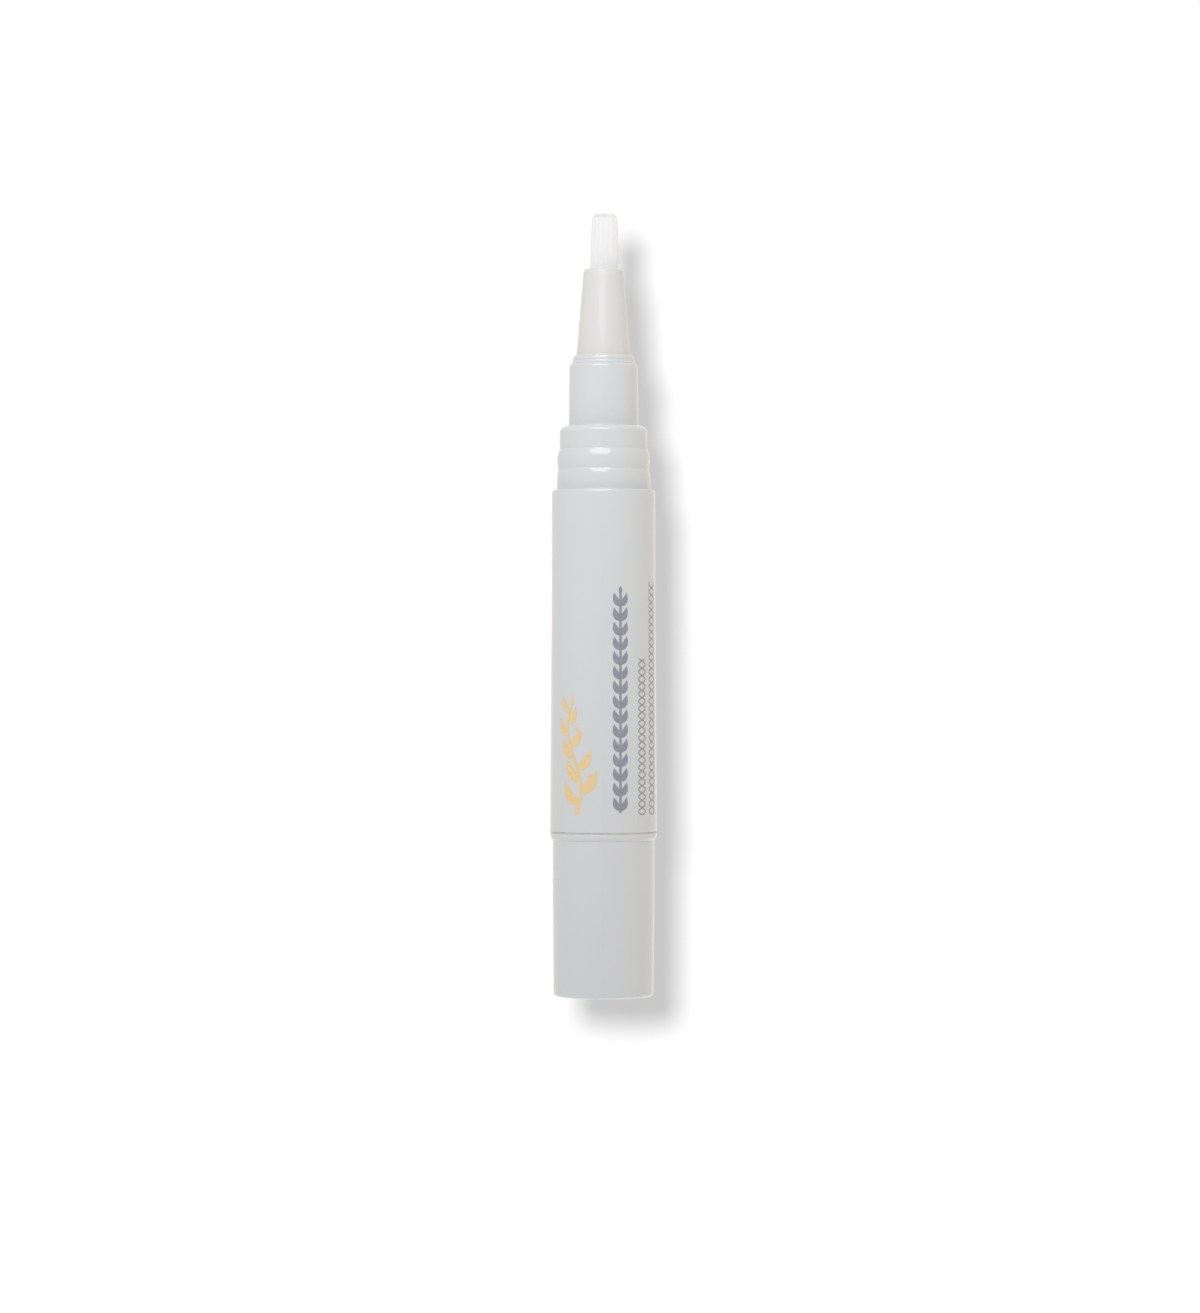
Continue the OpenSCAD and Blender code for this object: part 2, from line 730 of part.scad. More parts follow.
module drive_sleeve() {
    plate_z0 = knob_len - plate_len;
    snap_r = pawl_seat_r + snap_height;
    color(acetal)
        difference() {
            union() {
                translate([0, 0, knob_floor])
                    cylinder(r = core_r, h = plate_z0 - knob_floor);
                spokes(rib_count, rib_w, rod_r + chamfer, plate_r, knob_floor, plate_z0);
                translate([0, 0, plate_z0])
                    cylinder(r = plate_r, h = plate_len);
                translate([0, 0, knob_len])
                    cylinder(r = journal_r, h = pawl_z0 - knob_len);
                double_d(pawl_seat_r, sleeve_flats, pawl_z0, sleeve_z1);
                rotate_extrude()
                    polygon([
                        [rod_r + chamfer, pawl_z1 + fit_gap], [snap_r, pawl_z1 + fit_gap],
                        [snap_r, pawl_z1 + fit_gap + chamfer], [snap_r - chamfer, sleeve_z1],
                        [rod_r + chamfer, sleeve_z1]
                    ]);
            }
            double_d(rod_bore_r, rod_flats + 2 * run_gap, knob_floor - cut_over, sleeve_z1 + cut_over);
            ring(
                friction_r + groove_half, friction_r - groove_half,
                friction_z - groove_half, knob_len + cut_over
            );
        }
}

// Friction O-ring, sunk in the drive sleeve's plate and just clear of the housing
module friction_ring() {
    color(pale_rubber)
        o_ring(friction_r, friction_w / 2, friction_z);
}

// Knob shell: a deep cup with a flared rim, and a pair of walls inside for each of the core's ribs
keyway_wall = 0.6;
keyway_depth = 0.6;
lip_edge = 0.1;

module knob_shell() {
    flare_z1 = knob_len - rim_lip;
    rib_side = rib_w / 2 + fit_gap;
    color(silver) {
        rotate_extrude()
            polygon(concat(
                [[0, 0]],
                arc(knob_end_r - knob_edge, knob_edge, knob_edge, -90, 0),
                [[knob_r, knob_taper_len]],
                flipped(bow(rim_r, flare_z1, knob_r, flare_z1 - flare_len)),
                arc(rim_r - lip_edge, knob_len - lip_edge, lip_edge, 0, 90),
                [[knob_bore_r, knob_len], [knob_bore_r, knob_floor], [0, knob_floor]]
            ));
        for (i = [0 : rib_count - 1], y = [-rib_side - keyway_wall, rib_side])
            rotate([0, 0, 360 * i / rib_count])
                translate([knob_bore_r - keyway_depth, y, knob_floor - chamfer])
                    cube([keyway_depth + chamfer, keyway_wall, knob_len - plate_len - knob_floor]);
    }
}

bristle_tuft();
feed_tube();
tuft_plug();
brush_holder();
nose();
nose_seal();
barrel();
oil_tank();
piston();
piston_rings();
screw_rod();
guide_nut();
ratchet_housing();
pawl_ring();
drive_sleeve();
friction_ring();
knob_shell();
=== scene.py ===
"""Nail oil pen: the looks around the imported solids. Lengths are millimetres here and metres in Blender."""

import json
import math
import random

import bpy
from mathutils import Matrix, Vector


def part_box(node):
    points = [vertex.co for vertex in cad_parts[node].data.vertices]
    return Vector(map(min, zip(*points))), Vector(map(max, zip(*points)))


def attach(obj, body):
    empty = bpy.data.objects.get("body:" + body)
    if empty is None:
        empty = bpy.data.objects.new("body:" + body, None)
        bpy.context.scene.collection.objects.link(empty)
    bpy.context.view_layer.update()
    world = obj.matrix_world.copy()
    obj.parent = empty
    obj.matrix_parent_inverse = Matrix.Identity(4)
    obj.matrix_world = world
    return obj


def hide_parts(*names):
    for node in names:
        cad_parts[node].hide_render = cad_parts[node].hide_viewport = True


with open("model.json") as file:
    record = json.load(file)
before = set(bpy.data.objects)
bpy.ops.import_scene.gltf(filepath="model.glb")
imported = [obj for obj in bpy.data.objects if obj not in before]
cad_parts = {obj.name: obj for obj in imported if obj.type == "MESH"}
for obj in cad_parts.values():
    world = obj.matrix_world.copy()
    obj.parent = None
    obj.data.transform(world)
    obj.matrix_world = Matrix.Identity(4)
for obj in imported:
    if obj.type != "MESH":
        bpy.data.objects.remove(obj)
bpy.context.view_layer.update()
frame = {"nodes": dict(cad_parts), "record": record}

MM = 0.001
SCENE = bpy.context.scene


# Sizes

def top_of(node):
    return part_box(node)[1].z / MM


def foot_of(node):
    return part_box(node)[0].z / MM


def radius_of(node):
    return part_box(node)[1].x / MM


# The barrel's outside: straight in front, then widening evenly to its rounded rear edge
BARREL_FRONT_R = 6.4
BARREL_REAR_R = radius_of("barrel")
BARREL_TAPER_Z0 = foot_of("barrel") + 0.15
BARREL_TAPER_Z1 = 50.2

# The ink's thickness, and the height at which the print starts
PRINT_LIFT = 0.012
PRINT_FOOT = foot_of("barrel") + 2.2

# The cone. The inside radius lies between its bore and its outside.
MOUTH_Z = top_of("brush_holder")
MOUTH_R = 1.75
MOUTH_EDGE = 0.5
CONE_LEN = MOUTH_Z - top_of("nose")
CONE_INSIDE_R = 2.2

# One fibre: its levels in shares of its length, its tip's share of its width, and how far the tip strays
FIBRE_R = 0.045
FIBRE_SIDES = 5
FIBRE_LEVELS = (0.0, 0.5, 0.62, 0.74, 0.86, 0.97, 1.0)
FIBRE_TIP = 0.5
FIBRE_TIP_STRAY = 0.02

# The whole tuft. It leans to the right as soon as it is free, and draws in mostly near its end.
TUFT_R = MOUTH_R - 0.03
TUFT_ROOT_Z = foot_of("bristle_tuft") + 0.3
TUFT_TIP_Z = top_of("bristle_tuft")
TUFT_END_Z = TUFT_TIP_Z - 0.3
TUFT_DRAW = 0.14
TUFT_DRAW_POWER = 2.5
TUFT_LEAN = 0.17
TUFT_LEAN_RISE = 8
# The rings' distance, and the fibres' in a ring, as shares of the distance between close-packed rows
RING_CLOSE = 0.85
FIBRE_CLOSE = 0.82
# How unevenly the fibres stand: round their ring, as a share of their distance, and out of it
FIBRE_ASIDE = 0.12
FIBRE_ASTRAY = 0.008
# How far a fibre may stop short of the tuft's end or stand out past it. A high power makes that rare.
FIBRE_SHORT = 0.2
FIBRE_SHORT_POWER = 3
FIBRE_LONG = 0.36
FIBRE_LONG_POWER = 40

# The tuft's end: a shallow dip right of its middle, fine and coarse waves, a rim that rounds off from
# one share of the radius on, and a right side that slants down from another
END_DIP = 0.12
END_DIP_X = 0.15
END_DIP_WIDTH = 0.18
END_COARSE = 0.07
END_FINE = 0.06
END_RIM = 0.4
END_RIM_FROM = 0.7
END_SLANT = 0.12
END_SLANT_FROM = 0.4

# The solid middle under the fibres. Its crown is in heights below the tuft's tip and shares of its radius.
CORE_R = TUFT_R - 1.7 * FIBRE_R
CORE_SIDES = 96
CORE_SHOULDER_Z = MOUTH_Z + 0.9
CORE_CROWN = ((3, 1), (2, 1), (1.3, 1), (0.98, 0.98), (0.74, 0.9), (0.58, 0.75), (0.5, 0.5))

# The thread. It keeps off both ends of the bar, which itself ends below the screw's head, and off the
# flats by some degrees.
THREAD_LEAD = 2.0
THREAD_STARTS = 2
THREAD_HALF_WIDTH = 0.16
THREAD_RISE = 0.03
THREAD_SINK = 0.02
THREAD_MARGIN = 1.0
THREAD_FLAT_MARGIN = 3
THREAD_STEPS = 10
SCREW_HEAD = 2.0

# The lip in the seam, and its clearance above and below
SEAM_LIP_R = 6.565
SEAM_CLEAR = 0.015
SEAM_STEPS = 16
SEAM_SIDES = 120

# The card behind the pen
CARD_Y = 40.0
CARD_SIDE = 900.0


# Small helpers

def mesh_object(name, points, faces, smooth=True):
    """A mesh from points in millimetres"""
    mesh = bpy.data.meshes.new(name)
    mesh.from_pydata([Vector(p) * MM for p in points], [], faces)
    mesh.validate()
    mesh.polygons.foreach_set("use_smooth", [smooth] * len(mesh.polygons))
    piece = bpy.data.objects.new(name, mesh)
    SCENE.collection.objects.link(piece)
    return piece


def barrel_radius(z):
    share = (BARREL_TAPER_Z1 - z) / (BARREL_TAPER_Z1 - BARREL_TAPER_Z0)
    return BARREL_FRONT_R + (BARREL_REAR_R - BARREL_FRONT_R) * min(max(share, 0), 1)


def on_barrel(u, z):
    """A point of the print, u millimetres round the barrel from the side that faces the camera"""
    r = barrel_radius(z)
    a = u / r
    return ((r + PRINT_LIFT) * math.sin(a), -(r + PRINT_LIFT) * math.cos(a), z)


# Nodes

class Nodes:
    """A node tree, with the few kinds of node that the materials and the world need"""

    def __init__(self, tree):
        self.tree = tree

    def node(self, kind, **values):
        node = self.tree.nodes.new(kind)
        for key, value in values.items():
            if key in node.inputs:
                node.inputs[key].default_value = value
            else:
                setattr(node, key, value)
        return node

    def link(self, source, target):
        self.tree.links.new(source, target)

    def feed(self, value, socket):
        """Gives a socket a colour, a number or another node's output"""
        if isinstance(value, tuple):
            socket.default_value = (*value, 1)
        elif isinstance(value, (int, float)):
            socket.default_value = value
        else:
            self.link(value, socket)

    def maths(self, operation, *values):
        node = self.node("ShaderNodeMath", operation=operation)
        for value, socket in zip(values, node.inputs):
            self.feed(value, socket)
        return node.outputs[0]

    def span(self, value, low, high, floor=0.3, ceiling=0.7):
        """From low to high, as value goes from floor to ceiling"""
        node = self.node("ShaderNodeMapRange", interpolation_type="SMOOTHSTEP")
        ends = {"From Min": floor, "From Max": ceiling, "To Min": low, "To Max": high}
        for socket, number in ends.items():
            node.inputs[socket].default_value = number
        self.link(value, node.inputs["Value"])
        return node.outputs["Result"]

    def mix(self, share, a, b):
        """From colour a to colour b, as share goes from 0 to 1"""
        node = self.node("ShaderNodeMix", data_type="RGBA")
        self.link(share, node.inputs["Factor"])
        self.feed(a, node.inputs[6])
        self.feed(b, node.inputs[7])
        return node.outputs[2]

    def curve(self, value, points):
        """A smooth curve through the points, read at value"""
        node = self.node("ShaderNodeFloatCurve")
        line = node.mapping.curves[0]
        while len(line.points) < len(points):
            line.points.new(0.5, 0.5)
        for point, place in zip(line.points, points):
            point.location = place
        node.mapping.update()
        self.link(value, node.inputs["Value"])
        return node.outputs["Value"]


# Materials

# How far the finest bumps in a surface stand out
SKIN_DEPTH = 0.01

# How far round the cone, in radians, its painted reflection streak reaches, and how wavy its edge is
STREAK_REACH = 0.4
STREAK_WAVES = 0.07

# The share of light that goes through a fibre
FIBRE_CLEAR = 0.06


class Look(Nodes):
    """A material with one Principled shader"""

    def __init__(self, name, **values):
        self.material = bpy.data.materials.new(name)
        self.material.use_nodes = True
        super().__init__(self.material.node_tree)
        self.main = self.tree.nodes["Principled BSDF"]
        for socket, value in values.items():
            self.main.inputs[socket.replace("_", " ")].default_value = value

    def place(self):
        return self.node("ShaderNodeTexCoord").outputs["Object"]

    def stretched(self, x, y, z):
        mapping = self.node("ShaderNodeMapping")
        mapping.inputs["Scale"].default_value = (x, y, z)
        self.link(self.place(), mapping.inputs["Vector"])
        return mapping.outputs["Vector"]

    def noise(self, scale, detail, at=None):
        node = self.node("ShaderNodeTexNoise", Scale=scale, Detail=detail)
        self.link(at or self.place(), node.inputs["Vector"])
        return node.outputs["Fac"]

    def colour(self, output):
        self.link(output, self.main.inputs["Base Color"])

    def rough(self, output):
        self.link(output, self.main.inputs["Roughness"])

    def skin(self, height, strength):
        node = self.node("ShaderNodeBump", Strength=strength, Distance=SKIN_DEPTH * MM)
        self.link(height, node.inputs["Height"])
        self.link(node.outputs["Normal"], self.main.inputs["Normal"])


def plain_look(name, colours, patches, gloss, skin, **values):
    """Two colours in patches, an uneven gloss and a fine skin

    Patches are (scale, detail, floor, ceiling), gloss (scale, detail, least and most roughness), and
    skin (scale, detail, strength).
    """
    look = Look(name, **values)
    scale, detail, floor, ceiling = patches
    look.colour(look.mix(look.span(look.noise(scale, detail), 0, 1, floor, ceiling), *colours))
    scale, detail, least, most = gloss
    look.rough(look.span(look.noise(scale, detail), least, most))
    scale, detail, strength = skin
    look.skin(look.noise(scale, detail), strength)
    return look.material


def silver_plastic():
    """Glossy silver-grey moulded plastic: a faint cloudiness, and a very fine skin"""
    look = Look("silver_plastic_look", Specular_IOR_Level=0.5)
    cloud = look.span(look.noise(160, 2), 0, 1)
    flow = look.span(look.noise(900, 4, look.stretched(1, 1, 0.25)), 0, 1)
    pale = look.mix(cloud, (0.660, 0.671, 0.684), (0.674, 0.685, 0.698))
    look.colour(look.mix(flow, pale, (0.667, 0.678, 0.691)))
    look.rough(look.span(look.noise(700, 3), 0.01, 0.03))
    look.skin(look.noise(3200, 2), 0.012)
    return look.material


def holder_plastic():
    """Natural plastic of the cone, with a painted reflection: a pale streak that runs down from the mouth"""
    look = Look("holder_plastic_look", Specular_IOR_Level=0.38)
    cloud = look.span(look.noise(160, 2), 0, 1)
    body = look.mix(cloud, (0.704, 0.696, 0.688), (0.712, 0.704, 0.696))
    # The pale streak is painted reflection: a lighter colour where the softbox's light shows inside the cone
    look.colour(look.mix(painted_reflection_streak(look), body, (0.716, 0.718, 0.723)))
    look.rough(look.span(look.noise(700, 3), 0.268, 0.272))
    look.skin(look.noise(3200, 2), 0.01)
    return look.material


# Painted reflection: the mask of the pale streak that stands in for the softbox's light inside the cone
def painted_reflection_streak(look):
    """1 in the painted reflection streak down the cone, straight on the right and wavy on the left, and 0
    elsewhere
    """
    xyz = look.node("ShaderNodeSeparateXYZ")
    look.link(look.place(), xyz.inputs["Vector"])
    x, y, z = xyz.outputs
    turn = look.maths("ARCTAN2", x, look.maths("MULTIPLY", y, -1.0))
    down = look.maths("MULTIPLY", look.maths("SUBTRACT", MOUTH_Z * MM, z), 1 / (CONE_LEN * MM))
    left = look.curve(down, (
        (0, 0.9), (0.05, 0.5), (0.1, 0.12), (0.17, 0.2), (0.27, 0.5), (0.39, 0.5), (0.49, 0.48),
        (0.56, 0.54), (0.66, 0.5), (0.73, 0.4), (0.84, 0.22), (0.93, 0.1), (1, 0.25)))
    right = look.curve(down, (
        (0, 0.62), (0.05, 0.4), (0.1, 0.2), (0.17, 0.25), (0.6, 0.25), (0.76, 0.2), (0.86, 0.1),
        (0.93, 0.05), (1, 0.25)))
    ripple = look.maths("SUBTRACT", look.noise(520, 3, look.stretched(0.3, 0.3, 1)), 0.5)
    waves = look.maths("MULTIPLY", ripple, STREAK_WAVES)
    left_room = look.maths("ADD", look.maths("ADD", turn, look.maths("MULTIPLY", left, STREAK_REACH)), waves)
    right_room = look.maths("SUBTRACT", look.maths("MULTIPLY", right, STREAK_REACH), turn)
    return look.span(look.maths("MINIMUM", left_room, right_room), 0, 1, -0.02, 0.035)


def fibre():
    """Fine white synthetic filament, streaked lengthwise, that lets some light through"""
    look = Look("fibre_look", Specular_IOR_Level=0.5, Roughness=0.3)
    streak = look.span(look.noise(5200, 3, look.stretched(1, 1, 0.02)), 0, 1)
    white = look.mix(streak, (0.86, 0.86, 0.863), (0.895, 0.895, 0.897))
    look.colour(white)
    look.skin(look.noise(9000, 2, look.stretched(1, 1, 0.05)), 0.1)
    through = look.node("ShaderNodeBsdfTranslucent")
    both = look.node("ShaderNodeMixShader", Fac=FIBRE_CLEAR)
    look.link(white, through.inputs["Color"])
    look.link(look.main.outputs[0], both.inputs[1])
    look.link(through.outputs[0], both.inputs[2])
    look.link(both.outputs[0], look.tree.nodes["Material Output"].inputs["Surface"])
    return look.material


def natural_plastic():
    """Milky natural polypropylene"""
    return plain_look(
        "natural_plastic_look", ((0.80, 0.79, 0.75), (0.86, 0.85, 0.81)),
        patches=(260, 3, 0.3, 0.7), gloss=(1200, 3, 0.35, 0.5), skin=(2600, 2, 0.1),
        Specular_IOR_Level=0.5, Subsurface_Weight=0.2, Subsurface_Scale=MM)


def acetal():
    """White acetal as it leaves the mould, with a fine matt grain"""
    return plain_look(
        "acetal_look", ((0.82, 0.82, 0.79), (0.87, 0.87, 0.84)),
        patches=(420, 3, 0.3, 0.7), gloss=(1500, 3, 0.4, 0.55), skin=(5200, 3, 0.15),
        Specular_IOR_Level=0.5)


def seal_rubber():
    """Dark brown nitrile rubber with a dull skin"""
    return plain_look(
        "seal_rubber_look", ((0.050, 0.036, 0.030), (0.085, 0.066, 0.056)),
        patches=(2600, 4, 0.45, 0.75), gloss=(1800, 3, 0.55, 0.75), skin=(6000, 3, 0.3),
        Specular_IOR_Level=0.35)


def pale_rubber():
    """Beige elastomer with a dull skin"""
    return plain_look(
        "pale_rubber_look", ((0.76, 0.71, 0.66), (0.82, 0.77, 0.72)),
        patches=(2600, 4, 0.45, 0.75), gloss=(1800, 3, 0.4, 0.55), skin=(6000, 3, 0.3),
        Specular_IOR_Level=0.35)


def ink(name, thin, full, smoothest):
    """Screen-printed ink: it covers a little unevenly"""
    return plain_look(
        name, (thin, full),
        patches=(2400, 4, 0.3, 0.6), gloss=(3000, 2, smoothest, smoothest + 0.12), skin=(7000, 2, 0.15),
        Specular_IOR_Level=0.5)


# Each slot of the record has the name of the function that makes its look
LOOKS = {
    look.__name__: look()
    for look in (silver_plastic, holder_plastic, fibre, natural_plastic, acetal, seal_rubber, pale_rubber)
}
GOLD_INK = ink("gold_ink", (0.84, 0.63, 0.33), (0.825, 0.61, 0.31), 0.25)
GREY_INK = ink("grey_ink", (0.32, 0.325, 0.37), (0.27, 0.28, 0.325), 0.3)
PALE_INK = ink("pale_ink", (0.33, 0.335, 0.37), (0.28, 0.29, 0.33), 0.3)

for row in frame["record"]["subparts"]:
    solid = frame["nodes"][row["node"]]
    solid.data.materials.clear()
    solid.data.materials.append(LOOKS[row["material_slot"]])


# The cone

def smooth_cone():
    """Exact normals on the cone's outside, where the frame's triangles are uneven"""
    mesh = frame["nodes"]["brush_holder"].data
    foot, mouth, inside_r = top_of("nose") * MM, (MOUTH_Z - MOUTH_EDGE) * MM, CONE_INSIDE_R * MM
    side = [v.co for v in mesh.vertices if foot < v.co.z < mouth and v.co.xy.length > inside_r]
    low, high = min(side, key=lambda p: p.z), max(side, key=lambda p: p.z)
    slope = (low.xy.length - high.xy.length) / (high.z - low.z)
    most_upward = 0.2
    normals = []
    for corner, loop in zip(mesh.corner_normals, mesh.loops):
        normal, place = corner.vector, mesh.vertices[loop.vertex_index].co
        r = place.xy.length
        if low.z - MM < place.z < mouth and r > inside_r and normal.z < most_upward:
            normal = Vector((place.x / r, place.y / r, slope)).normalized()
        normals.append(normal)
    mesh.normals_split_custom_set(normals)


smooth_cone()


# The tuft

def tuft_set(z):
    """The share of its width that the tuft still has at height z, and how far it leans over there"""
    free = min(max(0.0, (z - MOUTH_Z) / (TUFT_TIP_Z - MOUTH_Z)), 1)
    return 1 - TUFT_DRAW * free ** TUFT_DRAW_POWER, TUFT_LEAN * min(1, TUFT_LEAN_RISE * free)


def tuft_end(x, y):
    """Height of the tuft's end: nearly flat, a little uneven, and rounded off at its rim"""
    out = math.hypot(x, y) / TUFT_R
    dip = END_DIP * math.exp(-((x - END_DIP_X) / END_DIP_WIDTH) ** 2)
    coarse = END_COARSE * math.sin(11 * x + 2 + 3 * math.sin(2 * y)) * math.cos(7 * y + 4 * x)
    fine = END_FINE * math.sin(23 * x + 5 * y)
    rim = END_RIM * max(0.0, (out - END_RIM_FROM) / (1 - END_RIM_FROM)) ** 2
    slant = END_SLANT * max(0.0, x / TUFT_R - END_SLANT_FROM)
    return TUFT_END_Z - dip - rim - slant + coarse + fine


def add_fibre(points, faces, rng, r, a, end_z):
    """One fibre that stands r from the tuft's middle, at angle a, and ends at height end_z"""
    first = len(points)
    turn = rng.uniform(0, math.tau)
    stray = rng.uniform(-FIBRE_TIP_STRAY, FIBRE_TIP_STRAY)
    for level in FIBRE_LEVELS:
        z = TUFT_ROOT_Z + (end_z - TUFT_ROOT_Z) * level
        draw, lean = tuft_set(z)
        off = r * draw + stray * level
        x, y = off * math.cos(a) + lean, off * math.sin(a)
        wide = FIBRE_R * (1 if level < 1 else FIBRE_TIP)
        for corner in range(FIBRE_SIDES):
            b = turn + corner * math.tau / FIBRE_SIDES
            points.append((x + wide * math.cos(b), y + wide * math.sin(b), z))
    add_walls(faces, first, len(FIBRE_LEVELS), FIBRE_SIDES)


def add_walls(faces, first, rings, sides):
    """The walls between rings of points that follow one another from first, and the top"""
    for ring in range(rings - 1):
        for k in range(sides):
            p = first + ring * sides + k
            q = first + ring * sides + (k + 1) % sides
            faces.append((p, q, q + sides, p + sides))
    last = first + (rings - 1) * sides
    faces.append(tuple(range(last, last + sides)))


def add_core(points, faces):
    """The solid middle, which keeps the gaps between the fibres shut, with a crown under their ends"""
    first = len(points)
    rings = [(TUFT_ROOT_Z, 1), (MOUTH_Z, 1), (CORE_SHOULDER_Z, 1)]
    rings += [(TUFT_TIP_Z - below, share) for below, share in CORE_CROWN]
    for z, share in rings:
        draw, lean = tuft_set(z)
        r = CORE_R * share * draw
        for k in range(CORE_SIDES):
            a = math.tau * k / CORE_SIDES
            points.append((r * math.cos(a) + lean, r * math.sin(a), z))
    add_walls(faces, first, len(rings), CORE_SIDES)
    faces.append(tuple(range(first + CORE_SIDES - 1, first - 1, -1)))


def make_tuft():
    """Fine fibres in close rings over a solid middle

    Most fibres reach the tuft's end. A few stop short of it, and hardly any stand out past it.
    """
    rng = random.Random(11)
    points, faces = [], []
    r, step = TUFT_R - FIBRE_R, FIBRE_R * math.sqrt(3)
    while r > step:
        count = int(math.tau * r / (step * FIBRE_CLOSE))
        start = rng.uniform(0, math.tau)
        for i in range(count):
            a = start + math.tau * (i + rng.uniform(-FIBRE_ASIDE, FIBRE_ASIDE)) / count
            short = FIBRE_SHORT * rng.random() ** FIBRE_SHORT_POWER
            long = FIBRE_LONG * rng.random() ** FIBRE_LONG_POWER
            end_z = min(tuft_end(r * math.cos(a), r * math.sin(a)) - short + long, TUFT_TIP_Z)
            add_fibre(points, faces, rng, r + rng.uniform(-FIBRE_ASTRAY, FIBRE_ASTRAY), a, end_z)
        r -= step * RING_CLOSE
    add_core(points, faces)
    tuft = mesh_object("fine_tuft", points, faces, False)
    tuft.data.materials.append(LOOKS["fibre"])
    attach(tuft, "barrel_unit")
    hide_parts("bristle_tuft")
    return tuft


TUFT = make_tuft()


# The thread on the screw

def make_thread():
    """A low two-start thread on the screw's round sides, broken by its flats"""
    rod = [v.co / MM for v in frame["nodes"]["screw_rod"].data.vertices]
    bar = [v for v in rod if v.z < top_of("screw_rod") - SCREW_HEAD]
    radius = max(math.hypot(v.x, v.y) for v in bar)
    half_flat = max(v.x for v in bar)
    z0, z1 = foot_of("screw_rod") + THREAD_MARGIN, max(v.z for v in bar) - THREAD_MARGIN
    half_turn = math.degrees(math.asin(half_flat / radius)) - THREAD_FLAT_MARGIN
    section = ((-THREAD_HALF_WIDTH, -THREAD_SINK), (0, THREAD_RISE), (THREAD_HALF_WIDTH, -THREAD_SINK))
    points, faces = [], []
    for start in range(THREAD_STARTS):
        for turn in range(int((z1 - z0) / THREAD_LEAD) + 1):
            for side in (90, 270):
                foot = z0 + THREAD_LEAD * (turn + start / THREAD_STARTS)
                if foot + THREAD_LEAD * (side + half_turn) / 360 > z1:
                    continue
                first = len(points)
                for i in range(THREAD_STEPS + 1):
                    a = side - half_turn + 2 * half_turn * i / THREAD_STEPS
                    z = foot + THREAD_LEAD * a / 360
                    c, s = math.cos(math.radians(a)), math.sin(math.radians(a))
                    points += [((radius + rise) * c, (radius + rise) * s, z + dz) for dz, rise in section]
                for i in range(THREAD_STEPS):
                    for k in range(2):
                        p = first + 3 * i + k
                        faces.append((p, p + 3, p + 4, p + 1))
    thread = mesh_object("screw_thread", points, faces)
    thread.data.materials.append(LOOKS["acetal"])
    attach(thread, "screw_unit")


make_thread()


# The ring in the seam

def make_seam_ring():
    """The friction ring, with the thin lip by which it reaches out into the seam"""
    low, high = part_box("friction_ring")
    half = (high.z - low.z) / 2 / MM
    middle_r, middle_z = high.x / MM - half, (high.z + low.z) / 2 / MM
    lip_z0, lip_z1 = top_of("knob_shell") + SEAM_CLEAR, foot_of("barrel") - SEAM_CLEAR
    start, end = (math.degrees(math.asin((z - middle_z) / half)) for z in (lip_z1, lip_z0))
    section = []
    for i in range(SEAM_STEPS + 1):
        a = math.radians(start + (360 + end - start) * i / SEAM_STEPS)
        section.append((middle_r + half * math.cos(a), middle_z + half * math.sin(a)))
    round_off = (lip_z1 - lip_z0) / 3
    section += [
        (SEAM_LIP_R - round_off, lip_z0), (SEAM_LIP_R, lip_z0 + round_off),
        (SEAM_LIP_R, lip_z1 - round_off), (SEAM_LIP_R - round_off, lip_z1)]
    row = len(section)
    points = [
        (r * math.cos(math.tau * k / SEAM_SIDES), r * math.sin(math.tau * k / SEAM_SIDES), z)
        for k in range(SEAM_SIDES) for r, z in section]
    faces = []
    for k in range(SEAM_SIDES):
        here, there = k * row, (k + 1) % SEAM_SIDES * row
        for i in range(row):
            j = (i + 1) % row
            faces.append((here + i, there + i, there + j, here + j))
    ring = mesh_object("seam_ring", points, faces)
    ring.data.materials.append(LOOKS["pale_rubber"])
    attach(ring, "knob_unit")
    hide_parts("friction_ring")


make_seam_ring()


# The print on the barrel

class Print:
    """Flat ink shapes laid on the barrel. Places are (round, up) in millimetres."""

    # How far along a path its direction is taken, and the steps along a small shape and across it
    NEAR = 0.01
    STEPS, ACROSS = 10, 4

    def __init__(self, name, material):
        self.name, self.material = name, material
        self.points, self.faces = [], []

    def ribbon(self, path, half_width, steps, across):
        """Ink along path(t), half_width(t) to each side of it, for t from 0 to 1"""
        first = len(self.points)
        for i in range(steps + 1):
            t = i / steps
            (u, v), (u0, v0), (u1, v1) = path(t), path(t - self.NEAR), path(t + self.NEAR)
            length = math.hypot(u1 - u0, v1 - v0) or 1
            nu, nv = -(v1 - v0) / length, (u1 - u0) / length
            for k in range(across + 1):
                side = (2 * k / across - 1) * half_width(t)
                self.points.append(on_barrel(u + nu * side, v + nv * side))
        row = across + 1
        for i in range(steps):
            for k in range(across):
                p = first + i * row + k
                self.faces.append((p, p + 1, p + row + 1, p + row))

    def leaf(self, u, v, angle, length, width, curl=0.0):
        """A pointed leaf that starts at (u, v) and grows towards angle, in degrees from straight up"""

        def path(t):
            a = math.radians(angle + curl * (t - 0.5))
            return u + length * t * math.sin(a), v + length * t * math.cos(a)

        def half_width(t):
            return width / 2 * math.sin(math.pi * min(max(t, 0), 1) ** 0.8)

        self.ribbon(path, half_width, self.STEPS, self.ACROSS)

    def dot(self, u, v, r):
        self.ribbon(
            lambda t: (u, v - r + 2 * r * t),
            lambda t: math.sqrt(max(r * r - (r - 2 * r * t) ** 2, 0)), self.STEPS, self.ACROSS)

    def finish(self):
        piece = mesh_object(self.name, self.points, self.faces)
        piece.data.materials.append(self.material)
        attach(piece, "barrel_unit")


